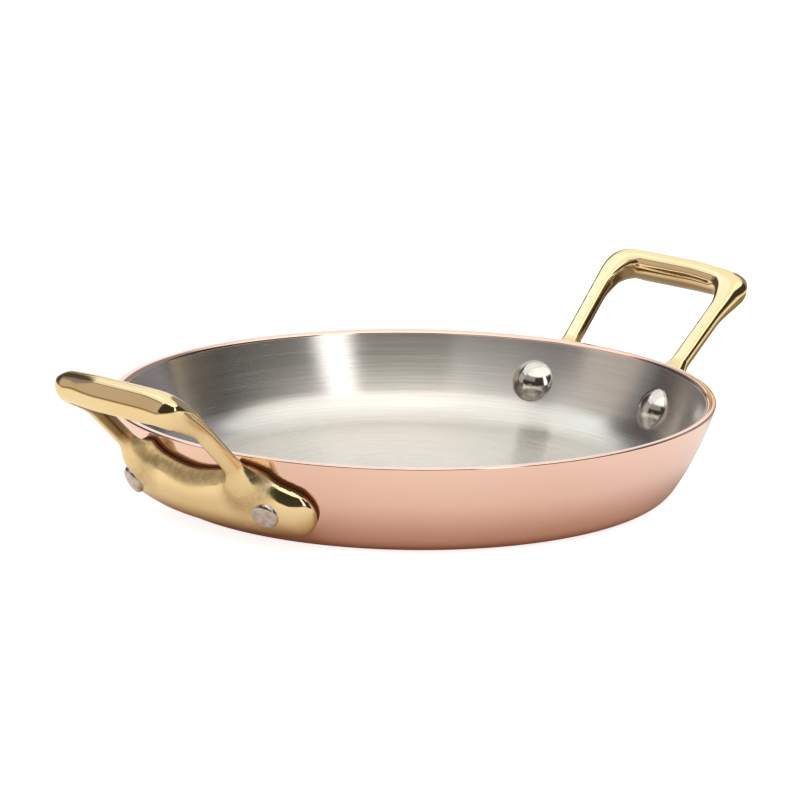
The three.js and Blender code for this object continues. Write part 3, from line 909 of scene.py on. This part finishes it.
def studio_world():
    """A studio by direction: degrees round from the camera's side to its right, and degrees up."""
    world = bpy.data.worlds.new("studio")
    bpy.context.scene.world = world
    world.use_nodes = True
    graph = Graph(world.node_tree)
    direction = graph.node("ShaderNodeTexCoord").outputs["Generated"]
    parts = graph.parts(graph.in_studio(direction))
    back = graph.math("MULTIPLY", parts[1], -1.0)
    round_from_camera = graph.math("DEGREES", graph.math("ARCTAN2", parts[0], back))
    up = graph.math("DEGREES", graph.math("ARCSINE", parts[2]))

    def between(value, low, high, soft):
        rise = graph.step(value, low - soft, low + soft)
        return graph.math("MULTIPLY", rise, graph.fall(value, high - soft, high + soft))

    def panel(behind, colour, sides, heights, soft):
        share = graph.math("MULTIPLY", between(round_from_camera, *sides, soft), between(up, *heights, soft))
        return graph.mix(share, behind, colour)

    # Far left: a pale wall above, and below it a dim one with a warm part, its dark top edge and a dark gap
    room = panel(WHITE, (1.08, 1.1, 1.06, 1), sides=(-160, -97), heights=(40, 100), soft=2)
    room = panel(room, (0.26, 0.25, 0.26, 1), sides=(-165, -75), heights=(-10, 35), soft=1.5)
    room = panel(room, (0.56, 0.48, 0.43, 1), sides=(-106, -75), heights=(-10, 35), soft=1.5)
    room = panel(room, (0.10, 0.08, 0.05, 1), sides=(-106, -75), heights=(33.5, 36), soft=0.8)
    room = panel(room, (0.08, 0.07, 0.07, 1), sides=(-147, -115), heights=(-10, 40), soft=4)
    # Near left and round the camera: a grey wall above a dark one, then a dark one
    room = panel(room, (0.36, 0.34, 0.34, 1), sides=(-75, -18), heights=(-10, 48), soft=3)
    room = panel(room, DARK_ROOM, sides=(-75, -10), heights=(-10, 24), soft=3)
    room = panel(room, DARK_ROOM, sides=(-18, 34), heights=(-10, 44), soft=2.5)
    # Right: a dim wall, dark in its nearer part, and a bright strip at its start
    room = panel(room, (0.30, 0.28, 0.30, 1), sides=(27, 168), heights=(-10, 43), soft=4)
    room = panel(room, (0.05, 0.045, 0.04, 1), sides=(27, 118), heights=(-10, 43), soft=4)
    room = panel(room, (1.7, 1.7, 1.7, 1), sides=(27, 42), heights=(2, 60), soft=1.5)
    # Ceiling, with two soft lamps over the camera's side, one in the other, and a small cool one at the left
    room = graph.mix(graph.step(up, low=50.0, high=58.0), room, (1.12, 1.10, 1.05, 1))
    room = panel(room, (1.4, 1.37, 1.3, 1), sides=(-70, 110), heights=(45, 100), soft=4)
    room = panel(room, (1.6, 1.53, 1.41, 1), sides=(-32, 42), heights=(47, 100), soft=3)
    room = panel(room, (1.25, 1.35, 1.55, 1), sides=(-124, -114), heights=(41, 50), soft=2)

    studio = graph.glow("ShaderNodeBackground", room)
    white = graph.glow("ShaderNodeBackground", WHITE)
    shown = graph.node("ShaderNodeMixShader", {0: graph.camera_ray(), 1: studio, 2: white}).outputs[0]
    graph.surface(shown, "ShaderNodeOutputWorld")


def camera():
    """The photograph's camera: on a line from the dish's base centre, then panned, tilted and rolled."""
    azimuth, elevation = CAMERA_AZIMUTH, CAMERA_ELEVATION
    right = np.array([math.cos(azimuth), math.sin(azimuth), 0])
    back = np.array(
        [
            math.sin(azimuth) * math.cos(elevation),
            -math.cos(azimuth) * math.cos(elevation),
            math.sin(elevation),
        ]
    )
    level = Matrix((right, np.cross(back, right), back))
    pan = Matrix.Rotation(CAMERA_PAN, 3, "Y")
    tilt = Matrix.Rotation(CAMERA_TILT, 3, "X")
    roll = Matrix.Rotation(CAMERA_ROLL, 3, "Z")
    aim = (roll @ tilt @ pan @ level).transposed().to_4x4()
    lens = bpy.data.cameras.new("camera")
    lens.lens = CAMERA_LENS
    lens.clip_start = CLIP_START * METRES
    lens.clip_end = CLIP_END * METRES
    seen_from = bpy.data.objects.new("camera", lens)
    bpy.context.scene.collection.objects.link(seen_from)
    place = Matrix.Translation(back * CAMERA_DISTANCE * METRES)
    seen_from.matrix_world = place @ aim
    bpy.context.scene.camera = seen_from


def dress(piece, finish, node):
    """Gives a piece its finish in a material slot, attaches it to the root body and hides the node that it
    stands for.
    """
    piece.data.materials.clear()
    piece.data.materials.append(finish)
    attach(piece, "root")
    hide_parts(node)


bpy.context.scene.view_settings.view_transform = "Standard"

copper = copper_shell()
bore(copper)
dress(copper, copper_material(), "copper_body")

lining = lining_skin()
bore(lining)
dress(lining, lining_material(), "steel_lining")

# The left handle is the right one after half a turn about Z
brass = brass_material()
half_turn = np.array([-1, -1, 1])
for side, turn, tuck in (("right", 1, FAR_CORNER_TUCK), ("left", half_turn, NEAR_CORNER_TUCK)):
    points, faces, normals = cast_handle(tuck)
    handle = make_piece(f"handle_{side}_casting", points * turn, faces, normals * turn)
    for name, values in handle_skins(points, normals, tuck).items():
        keep_values(handle, name, values)
    dress(handle, brass, f"handle_{side}")

rivet_finish = rivet_material()
for node, place in RIVETS.items():
    dress(rivet_piece(f"{node}_steel", place), rivet_finish, node)

floor = flat_piece("floor", (0, 0, -FLOOR_DROP), (FLOOR_REACH, 0, 0), (0, FLOOR_REACH, 0))
floor.data.materials.append(floor_material())

card_middle = (CARD_RIGHT, -CARD_NEAR, CARD_HEIGHT)
card_slant = CARD_HALF_LENGTH * math.sqrt(0.5)
card = flat_piece("dark_reflection_card", card_middle, (card_slant, -card_slant, 0), (0, 0, CARD_HALF_HEIGHT))
card.data.transform(Matrix.Rotation(CAMERA_AZIMUTH, 4, "Z"))
card.data.materials.append(card_material())
# The card is a painted dark reflection: it shows only in reflections and casts no shadow
card.visible_camera = False
card.visible_diffuse = False
card.visible_shadow = False

studio_world()
camera()
